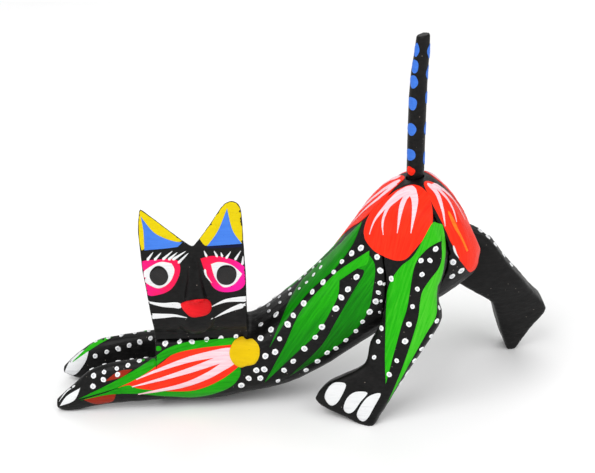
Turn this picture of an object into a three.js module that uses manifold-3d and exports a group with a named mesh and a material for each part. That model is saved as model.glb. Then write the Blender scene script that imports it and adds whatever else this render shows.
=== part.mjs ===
// Carved and painted wooden cat in a stretching pose, a folk-art figure that stands on its paws.
// Units are millimetres. +Z is up, the cat faces -X, its left side is -Y, and its tail is at the +X end.
// The trunk with both forelegs is one carving. The head, the hind legs and the tail are carved apart:
// the head and the legs are glued on over dowels, and the tail is a push-fit peg in a drilled socket.
import * as THREE from "three";
import { mergeVertices } from "three/addons/utils/BufferGeometryUtils.js";
import Module from "manifold-3d";

const wasm = await Module();
wasm.setup();

// ---- Driving dimensions ----
const GAP = 0.3; // clearance between glued faces, filled with glue and paint on the real figure
const RING = 32; // points round a lofted section
const CHEST_TOP = 24.6; // height of the flat saddle that the head stands on
const CHEST_FRONT = -81.5; // sawn front wall of the chest, behind the slot between the forelegs
const SADDLE_END = -53.2; // where the back starts to rise behind the head

const TAIL = { x: -2.5, y: 0, z: 72.2, radius: 2.7, length: 43, peg: 14, pegRadius: 2.35 };
const NECK_DOWEL = { x: -67, y: -2.5, radius: 2.5, below: 9, above: 10 };
const HIP_DOWEL = { radius: 2.2, intoBody: 6, intoLeg: 4.5 };
const LEG_THICKNESS = 9;

// ---- Materials ----
const BLACK_PAINT = { color: 0x171516, roughness: 0.42, metalness: 0 };
const BARE_WOOD = { color: 0xc79c63, roughness: 0.8, metalness: 0 };

// ---- Solids ----

// A closed geometry as a manifold-3d solid, with its faces turned outwards.
function solid(geometry) {
  const bare = geometry.index ? geometry.toNonIndexed() : geometry.clone();
  bare.deleteAttribute("normal");
  bare.deleteAttribute("uv");
  const merged = mergeVertices(bare, 1e-4);
  const corners = merged.index.array;
  const triangles = [];
  for (let i = 0; i < corners.length; i += 3) {
    const [a, b, c] = [corners[i], corners[i + 1], corners[i + 2]];
    if (a !== b && b !== c && a !== c) triangles.push(a, b, c);
  }
  const build = (list) =>
    new wasm.Manifold(
      new wasm.Mesh({
        numProp: 3,
        vertProperties: merged.attributes.position.array,
        triVerts: new Uint32Array(list),
      }),
    );
  const made = build(triangles);
  return made.volume() < 0 ? build(triangles.reverse()) : made;
}

function geometryOf(made) {
  const mesh = made.getMesh();
  const geometry = new THREE.BufferGeometry();
  geometry.setAttribute("position", new THREE.BufferAttribute(new Float32Array(mesh.vertProperties), 3));
  geometry.setIndex(new THREE.BufferAttribute(new Uint32Array(mesh.triVerts), 1));
  geometry.computeVertexNormals();
  return geometry;
}

// A named mesh, one physical piece.
function piece(name, made, look) {
  const mesh = new THREE.Mesh(geometryOf(made), new THREE.MeshStandardMaterial(look));
  mesh.name = name;
  return mesh;
}

// A body whose sections run from an upper outline to a lower one. Each station is
// [top x, top z, bottom x, bottom z, centre y, half width, squareness]; 2 is an ellipse and 6 nearly a box.
function carvedLoft(stations, steps, ring = RING, matrix = new THREE.Matrix4()) {
  const line = (pick) => new THREE.CatmullRomCurve3(stations.map(pick), false, "catmullrom", 0.5);
  const top = line((s) => new THREE.Vector3(s[0], s[4], s[1]));
  const bottom = line((s) => new THREE.Vector3(s[2], s[4], s[3]));
  const width = line((s) => new THREE.Vector3(s[5], s[6], 0));
  const rings = [];
  const count = (stations.length - 1) * steps;
  for (let i = 0; i <= count; i++) {
    const [t, b, w] = [top, bottom, width].map((curve) => curve.getPoint(i / count));
    const centre = t.clone().add(b).multiplyScalar(0.5);
    const half = t.clone().sub(b).multiplyScalar(0.5);
    const soft = (value) => Math.sign(value) * Math.abs(value) ** (2 / w.y);
    const points = [];
    for (let k = 0; k < ring; k++) {
      const angle = (2 * Math.PI * k) / ring;
      const across = new THREE.Vector3(0, w.x * soft(Math.sin(angle)), 0);
      const point = centre.clone().addScaledVector(half, soft(Math.cos(angle))).add(across);
      points.push(point.applyMatrix4(matrix));
    }
    rings.push({ centre: centre.applyMatrix4(matrix), points });
  }
  return skin(rings);
}

// Closes a row of rings into one skin, with a fan over each end.
function skin(rings) {
  const positions = [];
  const face = (...points) => points.forEach((p) => positions.push(p.x, p.y, p.z));
  const ring = rings[0].points.length;
  for (let i = 0; i + 1 < rings.length; i++) {
    const [a, b] = [rings[i].points, rings[i + 1].points];
    for (let k = 0; k < ring; k++) {
      const n = (k + 1) % ring;
      face(a[k], b[k], b[n]);
      face(a[k], b[n], a[n]);
    }
  }
  for (const [end, flip] of [[rings[0], false], [rings.at(-1), true]])
    for (let k = 0; k < ring; k++) {
      const n = (k + 1) % ring;
      if (flip) face(end.centre, end.points[n], end.points[k]);
      else face(end.centre, end.points[k], end.points[n]);
    }
  const geometry = new THREE.BufferGeometry();
  geometry.setAttribute("position", new THREE.Float32BufferAttribute(positions, 3));
  return solid(geometry);
}

function box(x0, x1, y0, y1, z0, z1) {
  const geometry = new THREE.BoxGeometry(x1 - x0, y1 - y0, z1 - z0);
  geometry.translate((x0 + x1) / 2, (y0 + y1) / 2, (z0 + z1) / 2);
  return solid(geometry);
}

function ellipsoid(centre, radii, turn = [0, 0, 0]) {
  const geometry = new THREE.SphereGeometry(1, 28, 18);
  const matrix = new THREE.Matrix4().compose(
    new THREE.Vector3(...centre),
    new THREE.Quaternion().setFromEuler(new THREE.Euler(...turn)),
    new THREE.Vector3(...radii),
  );
  return solid(geometry.applyMatrix4(matrix));
}

// A cylinder between two points.
function rod(from, to, radius, sides = 24) {
  const [a, b] = [new THREE.Vector3(...from), new THREE.Vector3(...to)];
  const along = b.clone().sub(a);
  const geometry = new THREE.CylinderGeometry(radius, radius, along.length(), sides);
  const up = new THREE.Vector3(0, 1, 0);
  geometry.applyQuaternion(new THREE.Quaternion().setFromUnitVectors(up, along.clone().normalize()));
  geometry.translate(...a.add(b).multiplyScalar(0.5).toArray());
  return solid(geometry);
}

// A polygon whose corners are rounded. Each point is [a, b, radius].
function roundedOutline(points) {
  const shape = new THREE.Shape();
  const at = (i) => points[(i + points.length) % points.length];
  points.forEach(([a, b, radius], i) => {
    const corner = new THREE.Vector2(a, b);
    const toward = ([c, d]) => {
      const way = new THREE.Vector2(c, d).sub(corner);
      const reach = Math.min(radius, way.length() * 0.48);
      return corner.clone().addScaledVector(way.normalize(), reach);
    };
    const [start, end] = [toward(at(i - 1)), toward(at(i + 1))];
    if (i === 0) shape.moveTo(start.x, start.y);
    else shape.lineTo(start.x, start.y);
    shape.quadraticCurveTo(corner.x, corner.y, end.x, end.y);
  });
  shape.closePath();
  return shape;
}

// ---- Trunk and forelegs ----

// From the sawn chest wall, up the slope of the back and round the rump.
const TRUNK = [
  [CHEST_FRONT, 31, CHEST_FRONT, 1.6, -2, 12.6, 3.6],
  [-72, 31, -72, 1.2, -2, 12.7, 3.4],
  [-61, 28, -63, 1.2, -2, 12.6, 3.2],
  [-54, 25, -56, 2.6, -2, 12.3, 3],
  [-49, 26.6, -46.8, 4, -1.8, 12, 3],
  [-42.5, 31.8, -37.5, 6.6, -1.5, 11.8, 2.9],
  [-34.5, 39, -27.6, 11.6, -1.2, 11.8, 2.8],
  [-27, 46.8, -17.4, 18.6, -0.8, 12.4, 2.7],
  [-21.5, 54.2, -7.6, 25, -0.4, 13.6, 2.6],
  [-16.5, 61.6, 2, 30.4, 0, 14.8, 2.5],
  [-9, 69.2, 9, 34.8, 0, 15.5, 2.4],
  [0, 71.8, 13.8, 38.8, 0, 15.2, 2.3],
  [7.8, 66.4, 16.8, 42, 0, 13, 2.2],
  [13.6, 58, 18, 48, 0, 8, 2.1],
];

const LEFT_FORELEG = [
  [-66, 15, -66, 6, -9.5, 2, 2.5],
  [-76, 17.6, -76, 3.4, -10.6, 3.3, 2.6],
  [-88, 17.2, -88, 2.8, -10.9, 3.5, 2.3],
  [-96, 16, -96, 2, -10.8, 3.5, 2.2],
  [-102.4, 13.3, -102, 0.9, -10.4, 3.4, 2.1],
  [-107.2, 8.8, -106.8, -0.2, -10.3, 3, 2.1],
  [-110.4, 5.8, -110.2, -0.4, -10.3, 2.4, 2.1],
  [-112.6, 3.6, -112.6, 0.8, -10.4, 1.3, 2.1],
];

const RIGHT_FORELEG = [
  [-66, 15, -66, 6, 5.8, 2, 2.5],
  [-76, 17.6, -76, 2.4, 7, 3.3, 2.8],
  [-87, 16.7, -87, 1.6, 7.2, 3.5, 2.7],
  [-95, 15.4, -95, 0.8, 7.4, 3.5, 2.6],
  [-101.6, 13.6, -101, -0.4, 7.6, 3.4, 2.5],
  [-106.8, 9.9, -106.4, 0.3, 7.7, 3.1, 2.4],
  [-110.4, 6.6, -110, 1.7, 7.8, 2.3, 2.3],
  [-112.3, 4.6, -112.3, 2.6, 7.9, 1.2, 2.1],
];

// ---- Hind legs ----

// Each leg is a whittled board, drawn in its own plane from the toe, over the heel, to the hip. In that
// plane a runs toward the toes, b runs up the leg, and the depth runs toward +Y. The stations are those of
// carvedLoft, with (a, b) in place of (x, z) and the depth in place of y.
const HALF = LEG_THICKNESS / 2;
const LEFT_LEG = {
  foot: [-15.2, -26.6, 0],
  flare: 14,
  toeIn: 20.6,
  stations: [
    [19.4, 8.3, 20.4, 5.8, 3.6, 2.9, 5],
    [17, 11.2, 17.8, 3.8, 3.8, 3.8, 5],
    [11.6, 14.8, 10, 1.2, 3.8, 3.9, 5],
    [7, 18, 2.2, -0.8, 3.6, 3.8, 5],
    [5.3, 20.8, 0, 2.8, 3.8, 3.8, 4],
    [4.9, 26, -5.6, 14.6, 4.2, 4.2, 4],
    [2.4, 32, -11.8, 26.5, HALF, HALF, 4],
    [1.4, 39.5, -15.8, 35.8, HALF, HALF, 4],
    [1.6, 47, -14, 43, HALF, HALF, 4],
    [3.2, 58, -15.9, 56, HALF, HALF, 4],
    [2.4, 67, -10.5, 67, HALF, HALF, 4],
    [-1.6, 71, -4.6, 71, HALF, 3, 3],
  ],
};
const RIGHT_LEG = {
  foot: [35, 18.9, 0],
  flare: -13.8,
  toeIn: -8,
  stations: [
    [1.2, -0.9, -1.2, -0.9, HALF, 4, 7],
    [3.1, 3.6, -3.2, 3.6, HALF, HALF, 7],
    [5.7, 10.2, -6.8, 10.6, HALF, HALF, 7],
    [7.6, 16, -9.9, 16.5, HALF, HALF, 7],
    [9.8, 21, -4.9, 23, HALF, HALF, 5],
    [15.6, 25.4, 0.6, 30.2, HALF, HALF, 5],
    [23.8, 31.2, 6.5, 37.4, HALF + 0.6, HALF, 5],
    [32, 35.8, 12.2, 44.4, HALF + 2.6, HALF, 4.5],
    [39, 42, 19.6, 47.6, HALF + 5.4, HALF, 4],
    [42, 49, 29, 50.8, HALF + 8, HALF, 4],
    [40, 53.6, 34.6, 54.4, HALF + 9.4, 3, 3],
  ],
};

// The matrix from a leg's plane to the figure.
function legMatrix(leg) {
  const plane = new THREE.Matrix4().makeBasis(
    new THREE.Vector3(-1, 0, 0),
    new THREE.Vector3(0, 0, 1),
    new THREE.Vector3(0, 1, 0),
  );
  const flare = new THREE.Matrix4().makeRotationX(-THREE.MathUtils.degToRad(leg.flare));
  const toeIn = new THREE.Matrix4().makeRotationZ(-THREE.MathUtils.degToRad(leg.toeIn));
  return new THREE.Matrix4().makeTranslation(...leg.foot).multiply(toeIn).multiply(flare).multiply(plane);
}

// The leg as a whittled board. grow widens it all round and outward thickens it on its outer face.
function legBoard(leg, side, grow, outward = 0) {
  const grown = leg.stations.map(([a, b, c, d, depth, half, squareness]) => {
    const across = new THREE.Vector2(a - c, b - d).setLength(grow);
    const middle = depth + (side * outward) / 2;
    const wide = half + grow + outward / 2;
    return [a + across.x, b + across.y, c - across.x, d - across.y, middle, wide, squareness];
  });
  const toPlane = new THREE.Matrix4().makeRotationX(-Math.PI / 2).scale(new THREE.Vector3(1, -1, 1));
  return carvedLoft(grown, 3, 28, legMatrix(leg).multiply(toPlane));
}

// The dome that rounds a leg's top into the rump.
function hipDome(side, grow) {
  const centre = side < 0 ? [-3, -1.5, 47] : [2, 1.5, 44];
  const radii = side < 0 ? [25, 19.5, 24.8] : [28, 20, 24.8];
  const dome = ellipsoid(centre, radii.map((radius) => radius + grow));
  return dome.add(box(-60, 80, -60, 60, -10, centre[2]));
}

// A hind leg. Where the rump stands out beyond the board, the leg carries the rump's surface, so that the
// joint is flush. With grow it is the pocket in the trunk.
function hindLeg(leg, side, rump, grow = 0) {
  const board = legBoard(leg, side, grow).intersect(hipDome(side, grow));
  const thick = legBoard(leg, side, grow, LEG_THICKNESS);
  return board.add(grow > 0 ? thick : thick.intersect(rump));
}

// ---- Head ----

const HEAD = { bottom: CHEST_TOP + GAP, back: 9.5, face: -15.2, earSlope: 0.5 };

// The block seen from the front, with both ears: [x, z, corner radius].
const HEAD_FRONT = [
  [-80.4, 10, 0.5],
  [-81.7, 30, 2],
  [-83.9, 46.7, 6],
  [-84.4, 54, 4],
  [-84.9, 63.5, 5],
  [-84.1, 69.9, 1.4],
  [-72, 59.2, 4],
  [-69.2, 56.9, 1],
  [-66.6, 60.2, 4],
  [-59, 71.8, 3.4],
  [-54.6, 70.8, 4.4],
  [-54, 56, 4],
  [-53.4, 40, 6],
  [-53.5, 10, 0.5],
];

// The block seen from the side: [y, z, corner radius].
const HEAD_SIDE = [
  [-13, HEAD.bottom, 0.3],
  [-13.2, 27.4, 1],
  [HEAD.face, 30.4, 1.6],
  [HEAD.face, 44, 4],
  [-15, 56, 1.5],
  [-14.2, 74, 0.6],
  [-12.6, 74, 0.6],
  [-10.4, 56, 2.5],
  [-2, 51.5, 4],
  [7, 43, 6],
  [HEAD.back, 36, 5],
  [HEAD.back - 0.6, HEAD.bottom, 0.5],
];

// The nose, from the brow down: [height, reach forward, back, middle x, half width, squareness].
const NOSE = [
  [54, 15.4, 12, -69.2, 1.2, 2.5],
  [52, 16, 12, -69.1, 1.6, 3],
  [47, 16.8, 12, -68.9, 2.2, 3],
  [42.5, 17.9, 12, -68.8, 2.9, 3],
  [40.4, 18.2, 12, -68.8, 3.2, 3],
  [39.2, 16.4, 12, -68.8, 2.6, 2.5],
];

function extruded(points, depth) {
  return new THREE.ExtrudeGeometry(roundedOutline(points), { depth, bevelEnabled: false, curveSegments: 5 });
}

// An outline drawn in (y, z), running along +X from x0.
function alongX(points, x0, depth) {
  const turn = new THREE.Matrix4().makeBasis(
    new THREE.Vector3(0, 1, 0),
    new THREE.Vector3(0, 0, 1),
    new THREE.Vector3(1, 0, 0),
  );
  return solid(extruded(points, depth).applyMatrix4(turn).translate(x0, 0, 0));
}

// An outline drawn in (x, z), running along +Y from y0, then sheared.
function alongY(points, y0, depth, shear) {
  const turn = new THREE.Matrix4().makeBasis(
    new THREE.Vector3(1, 0, 0),
    new THREE.Vector3(0, 0, 1),
    new THREE.Vector3(0, -1, 0),
  );
  return solid(extruded(points, depth).applyMatrix4(turn).translate(0, y0 + depth, 0).applyMatrix4(shear));
}

function headBlank() {
  const slope = new THREE.Matrix4().makeShear(0, 0, 0, -HEAD.earSlope, 0, 0);
  const shear = slope.setPosition(0, 0, HEAD.earSlope * HEAD.face);
  const front = alongY(HEAD_FRONT, HEAD.face - 1, 30, shear);
  const side = alongX(HEAD_SIDE, -90, 42);
  const down = new THREE.Matrix4().makeBasis(
    new THREE.Vector3(0, 0, -1),
    new THREE.Vector3(1, 0, 0),
    new THREE.Vector3(0, -1, 0),
  );
  const stations = NOSE.map(([z, reach, back, ...rest]) => [-z, reach, -z, back, ...rest]);
  const nose = carvedLoft(stations, 3, 20, down);
  const muzzle = ellipsoid([-68.7, -14, 34.2], [6.4, 3.5, 6.9]);
  return front.intersect(side).add(nose).add(muzzle);
}

// ---- Dowels and tail ----

const NECK = {
  low: [NECK_DOWEL.x, NECK_DOWEL.y, CHEST_TOP - NECK_DOWEL.below],
  high: [NECK_DOWEL.x, NECK_DOWEL.y, CHEST_TOP + NECK_DOWEL.above],
};

// The two ends of a hip dowel. It stands square to the leg's plane at (a, b), from the given depth of the
// leg's glued face. side is -1 on the left and 1 on the right.
function hipDowelEnds(leg, side, a, b, face) {
  const at = (depth) => new THREE.Vector3(a, b, depth).applyMatrix4(legMatrix(leg)).toArray();
  return [at(face - side * HIP_DOWEL.intoBody), at(face + side * HIP_DOWEL.intoLeg)];
}

const LEFT_HIP = hipDowelEnds(LEFT_LEG, -1, -5, 50, LEG_THICKNESS);
const RIGHT_HIP = hipDowelEnds(RIGHT_LEG, 1, 29, 44, 3);

// The tail: a straight peg below its shoulder, then a whittled rod that leans back and tapers near its tip.
function tailSolid() {
  const sides = 14;
  const path = [
    [0, -TAIL.peg, TAIL.pegRadius],
    [0, -0.6, TAIL.pegRadius],
    [0, 0.4, TAIL.radius],
    [-0.1, 12, TAIL.radius],
    [-0.1, 24, TAIL.radius],
    [0.1, 32, TAIL.radius - 0.2],
    [0.6, 37.5, TAIL.radius - 0.4],
    [0.8, TAIL.length, TAIL.radius - 0.7],
  ];
  const rings = path.map(([lean, height, radius], i) => {
    const last = i === path.length - 1;
    const centre = new THREE.Vector3(TAIL.x + lean, TAIL.y, TAIL.z + height);
    const points = [];
    for (let k = 0; k < sides; k++) {
      const angle = (2 * Math.PI * k) / sides;
      const cut = last ? 0.25 * radius * Math.cos(angle) : 0;
      const out = new THREE.Vector3(radius * Math.cos(angle), radius * Math.sin(angle), cut);
      points.push(centre.clone().add(out));
    }
    return { centre, points };
  });
  return skin(rings);
}

// ---- Assembly ----

const ground = box(-200, 200, -100, 100, -50, 0);
const tailSocket = rod(
  [TAIL.x, TAIL.y, TAIL.z - TAIL.peg - 1],
  [TAIL.x, TAIL.y, TAIL.z + 10],
  TAIL.pegRadius + GAP,
);

// The hole for a dowel between two ends, a gap longer and wider than the dowel.
function dowelHole([from, to], radius) {
  const [a, b] = [new THREE.Vector3(...from), new THREE.Vector3(...to)];
  const way = b.clone().sub(a).normalize().multiplyScalar(GAP);
  return rod(a.sub(way).toArray(), b.add(way).toArray(), radius + GAP);
}

const neckHole = dowelHole([NECK.low, NECK.high], NECK_DOWEL.radius);
const leftHipHole = dowelHole(LEFT_HIP, HIP_DOWEL.radius);
const rightHipHole = dowelHole(RIGHT_HIP, HIP_DOWEL.radius);

const rump = carvedLoft(TRUNK, 3);

function trunk() {
  const saddle = box(-95, SADDLE_END, -30, 30, CHEST_TOP, 60);
  return rump
    .add(carvedLoft(LEFT_FORELEG, 3, 20))
    .add(carvedLoft(RIGHT_FORELEG, 3, 20))
    .subtract(saddle)
    .subtract(ground)
    .subtract(hindLeg(LEFT_LEG, -1, rump, GAP))
    .subtract(hindLeg(RIGHT_LEG, 1, rump, GAP))
    .subtract(tailSocket)
    .subtract(neckHole)
    .subtract(leftHipHole)
    .subtract(rightHipHole);
}

const leftHindLeg = hindLeg(LEFT_LEG, -1, rump).subtract(leftHipHole).subtract(ground);
const rightHindLeg = hindLeg(RIGHT_LEG, 1, rump).subtract(rightHipHole).subtract(ground);

const figure = new THREE.Group();
figure.add(
  piece("trunk", trunk(), BLACK_PAINT),
  piece("head", headBlank().subtract(neckHole), BLACK_PAINT),
  piece("left_hind_leg", leftHindLeg, BLACK_PAINT),
  piece("right_hind_leg", rightHindLeg, BLACK_PAINT),
  piece("tail", tailSolid(), BLACK_PAINT),
  piece("neck_dowel", rod(NECK.low, NECK.high, NECK_DOWEL.radius), BARE_WOOD),
  piece("left_hip_dowel", rod(...LEFT_HIP, HIP_DOWEL.radius), BARE_WOOD),
  piece("right_hip_dowel", rod(...RIGHT_HIP, HIP_DOWEL.radius), BARE_WOOD),
);

// Sets the origin at the middle of the figure's footprint, on the ground.
const bounds = new THREE.Box3().setFromObject(figure, true);
const middle = bounds.getCenter(new THREE.Vector3());
figure.position.set(-middle.x, -middle.y, -bounds.min.z);

export default figure;
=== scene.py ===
"""Looks of the carved and painted wooden cat: whittled black wood with thick hand-laid paint.

Lengths are millimetres in the carver's frame unless a comment says metres. Its origin is on the ground
under the tail, the cat faces -X, its left side is -Y and +Z is up. ROW turns it into the row frame.
"""

import math
import random

import bpy
import numpy as np
from mathutils import Matrix, Vector, noise
from mathutils.bvhtree import BVHTree
from mathutils.geometry import delaunay_2d_cdt

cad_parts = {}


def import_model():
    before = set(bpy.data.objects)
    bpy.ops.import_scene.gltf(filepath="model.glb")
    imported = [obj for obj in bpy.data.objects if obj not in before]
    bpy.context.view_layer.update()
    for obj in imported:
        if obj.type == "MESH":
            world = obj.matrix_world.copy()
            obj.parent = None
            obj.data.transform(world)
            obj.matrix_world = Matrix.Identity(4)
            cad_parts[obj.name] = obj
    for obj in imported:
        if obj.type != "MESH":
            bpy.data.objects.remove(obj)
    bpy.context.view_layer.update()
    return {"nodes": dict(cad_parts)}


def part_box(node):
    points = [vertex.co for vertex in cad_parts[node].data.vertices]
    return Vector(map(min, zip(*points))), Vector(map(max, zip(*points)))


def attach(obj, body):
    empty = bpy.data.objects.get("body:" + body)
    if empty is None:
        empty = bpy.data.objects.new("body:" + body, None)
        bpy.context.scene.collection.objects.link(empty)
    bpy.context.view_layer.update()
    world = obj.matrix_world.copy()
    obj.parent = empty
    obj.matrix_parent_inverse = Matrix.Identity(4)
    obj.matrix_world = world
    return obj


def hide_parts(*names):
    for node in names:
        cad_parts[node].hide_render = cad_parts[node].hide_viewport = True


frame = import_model()

# ---- Frame ----
MM = 0.001
NECK_DOWEL = (-67, -2.5)  # the neck dowel's axis
low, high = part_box("neck_dowel")
ROW = Matrix.Translation(((low.x + high.x) / 2, (low.y + high.y) / 2, 0))
ROW = ROW @ Matrix.Diagonal((MM, MM, MM, 1))
ROW = ROW @ Matrix.Translation((-NECK_DOWEL[0], -NECK_DOWEL[1], 0))
CARVER = ROW.inverted()

TAIL = (-2.5, 0)  # the tail's axis
TAIL_RADIUS = 2.7
TAIL_FOOT = 70  # height of the tail's foot, just inside the rump
TAIL_TIP = 116
RUMP = Vector((-1, 0, 52))  # middle of the rump, under the tail's foot
WOOD = ("trunk", "head", "left_hind_leg", "right_hind_leg", "tail")
DOWELS = ("neck_dowel", "left_hip_dowel", "right_hip_dowel")


def placed(name, data):
    """A new object in the scene."""
    made = bpy.data.objects.new(name, data)
    bpy.context.collection.objects.link(made)
    return made


# ---- Shader building ----
class Shader:
    """A material with its principled shader and short ways to add nodes."""

    def __init__(self, name):
        self.material = bpy.data.materials.new(name)
        self.material.use_nodes = True
        self.tree = self.material.node_tree
        self.surface = self.tree.nodes["Principled BSDF"]

    def node(self, kind, **values):
        made = self.tree.nodes.new("ShaderNode" + kind)
        for key, value in values.items():
            if key in made.inputs:
                made.inputs[key].default_value = value
            else:
                setattr(made, key, value)
        return made

    def link(self, output, target):
        self.tree.links.new(output, target)

    def solid_place(self, scale):
        """The wood's own coordinates in metres, scaled on each axis."""
        place = self.node("TexCoord")
        mapping = self.node("Mapping")
        mapping.inputs["Scale"].default_value = scale
        self.link(place.outputs["Object"], mapping.inputs["Vector"])
        return mapping.outputs["Vector"]

    def brush_place(self, along, across):
        """Coordinates that run along and across the brush strokes of a paint film, in millimetres."""
        stroke = self.node("Attribute", attribute_name="stroke")
        mapping = self.node("Mapping")
        mapping.inputs["Scale"].default_value = (along, across, 1)
        self.link(stroke.outputs["Vector"], mapping.inputs["Vector"])
        return mapping.outputs["Vector"]

    def noise(self, place, detail):
        made = self.node("TexNoise", Scale=1.0, Detail=detail, Roughness=0.55)
        self.link(place, made.inputs["Vector"])
        return made.outputs["Fac"]

    def ramp(self, value, stops):
        made = self.node("ValToRGB")
        points = made.color_ramp.elements
        while len(points) < len(stops):
            points.new(0.5)
        for point, (where, colour) in zip(points, stops):
            point.position = where
            point.color = (*colour, 1)
        self.link(value, made.inputs["Fac"])
        return made.outputs["Color"]

    def math(self, operation, first, second):
        made = self.node("Math", operation=operation)
        for socket, value in zip(made.inputs, (first, second)):
            if isinstance(value, (int, float)):
                socket.default_value = value
            else:
                self.link(value, socket)
        return made.outputs["Value"]

    def covered(self, colour, amount, cover):
        """A changing colour, covered by a fixed one where the amount is high."""
        made = self.node("Mix", data_type="RGBA")
        factor, below, above = (made.inputs[i] for i in (0, 6, 7))
        self.link(amount, factor)
        self.link(colour, below)
        above.default_value = (*cover, 1)
        return made.outputs[2]

    def bump(self, height, distance, under=None):
        """A relief of the given depth in metres, over another relief if there is one."""
        made = self.node("Bump", Strength=1.0, Distance=distance)
        self.link(height, made.inputs["Height"])
        if under is not None:
            self.link(under, made.inputs["Normal"])
        return made.outputs["Normal"]

    def finish(self, colour, roughness, normal=None, sheen=0.12):
        """The material, with its colour, roughness and relief joined up."""
        self.link(colour, self.surface.inputs["Base Color"])
        if isinstance(roughness, float):
            self.surface.inputs["Roughness"].default_value = roughness
        else:
            self.link(roughness, self.surface.inputs["Roughness"])
        if normal is not None:
            self.link(normal, self.surface.inputs["Normal"])
        self.surface.inputs["Specular IOR Level"].default_value = sheen
        return self.material


def linear(value):
    """A screen value from 0 to 255, as the linear value from 0 to 1 that shaders use."""
    if value > 10:
        return ((value / 255 + 0.055) / 1.055) ** 2.4
    return value / 255 / 12.92


def srgb(red, green, blue):
    return linear(red), linear(green), linear(blue)


# ---- Materials ----
def black_paint():
    """Thin black acrylic over whittled copal wood: brush marks, open grain and a few pale specks."""
    shader = Shader("black_paint")
    grain = shader.noise(shader.solid_place((500, 1300, 1300)), detail=4.0)
    blotch = shader.noise(shader.solid_place((180, 180, 180)), detail=2.0)
    fine = shader.noise(shader.solid_place((2600, 2600, 2600)), detail=2.0)
    both = shader.math("ADD", shader.math("MULTIPLY", grain, 0.6), shader.math("MULTIPLY", blotch, 0.4))
    colour = shader.ramp(both, ((0.36, srgb(5, 5, 5)), (0.64, srgb(22, 21, 21))))
    specks = shader.node("TexVoronoi", Scale=1.0, Randomness=1.0)
    shader.link(shader.solid_place((420, 420, 420)), specks.inputs["Vector"])
    speck = shader.ramp(specks.outputs["Distance"], ((0.045, (1, 1, 1)), (0.075, (0, 0, 0))))
    colour = shader.covered(colour, speck, srgb(120, 112, 104))
    roughness = shader.math("ADD", shader.math("MULTIPLY", blotch, 0.3), 0.28)
    normal = shader.bump(grain, 0.00012)
    normal = shader.bump(fine, 0.00004, normal)
    return shader.finish(colour, roughness, normal, 0.16)


def bare_wood():
    """Unpainted copal with a long grain, for the dowels inside the joints."""
    shader = Shader("bare_wood")
    grain = shader.noise(shader.solid_place((1800, 1800, 220)), detail=4.0)
    colour = shader.ramp(grain, ((0.3, srgb(176, 134, 84)), (0.7, srgb(222, 190, 140))))
    return shader.finish(colour, 0.75, shader.bump(grain, 0.00006))


def brushed_paint(name, stops, streak=0.35, ridge=0.00006, roughness=0.4):
    """Thick acrylic: stops run from the shaded to the light end of a film, broken up by brush streaks."""
    shader = Shader(name)
    tone = shader.node("Attribute", attribute_name="tone")
    streaks = shader.noise(shader.brush_place(0.12, 1.7), detail=4.0)
    bristles = shader.noise(shader.brush_place(0.4, 6.0), detail=3.0)
    drift = shader.math("MULTIPLY", shader.math("SUBTRACT", streaks, 0.5), 2 * streak)
    colour = shader.ramp(shader.math("ADD", tone.outputs["Fac"], drift), stops)
    specks = shader.noise(shader.solid_place((2400, 2400, 2400)), detail=1.0)
    speck = shader.ramp(specks, ((0.72, (0, 0, 0)), (0.78, (0.55, 0.55, 0.55))))
    darkest = stops[0][1]
    colour = shader.covered(colour, speck, tuple(0.35 * v for v in darkest))
    normal = shader.bump(streaks, ridge)
    normal = shader.bump(bristles, ridge * 0.6, normal)
    return shader.finish(colour, roughness, normal)


def dotted_white():
    """White dots pressed on with a nail head, which leaves a faint grey ring."""
    shader = Shader("white_dot")
    tone = shader.node("Attribute", attribute_name="tone")
    middle = ((0.0, srgb(222, 223, 226)), (0.2, srgb(206, 208, 212)))
    ring = ((0.36, srgb(158, 162, 170)), (0.5, srgb(240, 241, 242)))
    colour = shader.ramp(tone.outputs["Fac"], middle + ring)
    fine = shader.noise(shader.solid_place((1500, 1500, 1500)), detail=2.0)
    return shader.finish(colour, 0.45, shader.bump(fine, 0.00005))


def glossy_black():
    """The pupils' thicker and shinier black."""
    shader = Shader("pupil_black")
    cloud = shader.noise(shader.solid_place((240, 240, 240)), detail=2.0)
    colour = shader.ramp(cloud, ((0.35, srgb(5, 4, 5)), (0.7, srgb(24, 22, 22))))
    return shader.finish(colour, 0.22, shader.bump(cloud, 0.0003), 0.35)


BLACK = black_paint()
BARE = bare_wood()
DOT = dotted_white()
PUPIL = glossy_black()
GREEN = brushed_paint(
    "leaf_green",
    ((0.0, srgb(5, 78, 2)), (0.3, srgb(9, 128, 3)), (0.6, srgb(34, 172, 8)), (1.0, srgb(86, 200, 50))),
    0.3,
)
RED = brushed_paint(
    "petal_red",
    ((0.1, srgb(190, 20, 4)), (0.45, srgb(240, 36, 14)), (0.9, srgb(250, 66, 32))),
    0.25,
)
# Painted highlight: this lighter orange stands for light along the edge of the rump's right petal.
PAINTED_HIGHLIGHT_ORANGE = brushed_paint("petal_orange_painted_highlight", ((0.2, srgb(246, 84, 14)), (0.8, srgb(255, 146, 36))))
PALE = brushed_paint("petal_highlight", ((0.2, srgb(236, 168, 182)), (0.7, srgb(244, 220, 226))), 0.4)
WHITE = brushed_paint("brushed_white", ((0.15, srgb(188, 190, 194)), (0.5, srgb(226, 227, 228))), 0.3)
YELLOW = brushed_paint("flower_yellow", ((0.1, srgb(200, 160, 0)), (0.7, srgb(226, 190, 2))), 0.25)
LEMON = brushed_paint("ear_lemon", ((0.1, srgb(204, 178, 0)), (0.7, srgb(224, 202, 2))), 0.25)
BLUE = brushed_paint("ear_blue", ((0.1, srgb(44, 98, 198)), (0.7, srgb(68, 124, 220))), 0.25)
NAVY = brushed_paint("navy", ((0.1, srgb(8, 9, 30)), (0.7, srgb(20, 23, 60))))
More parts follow.
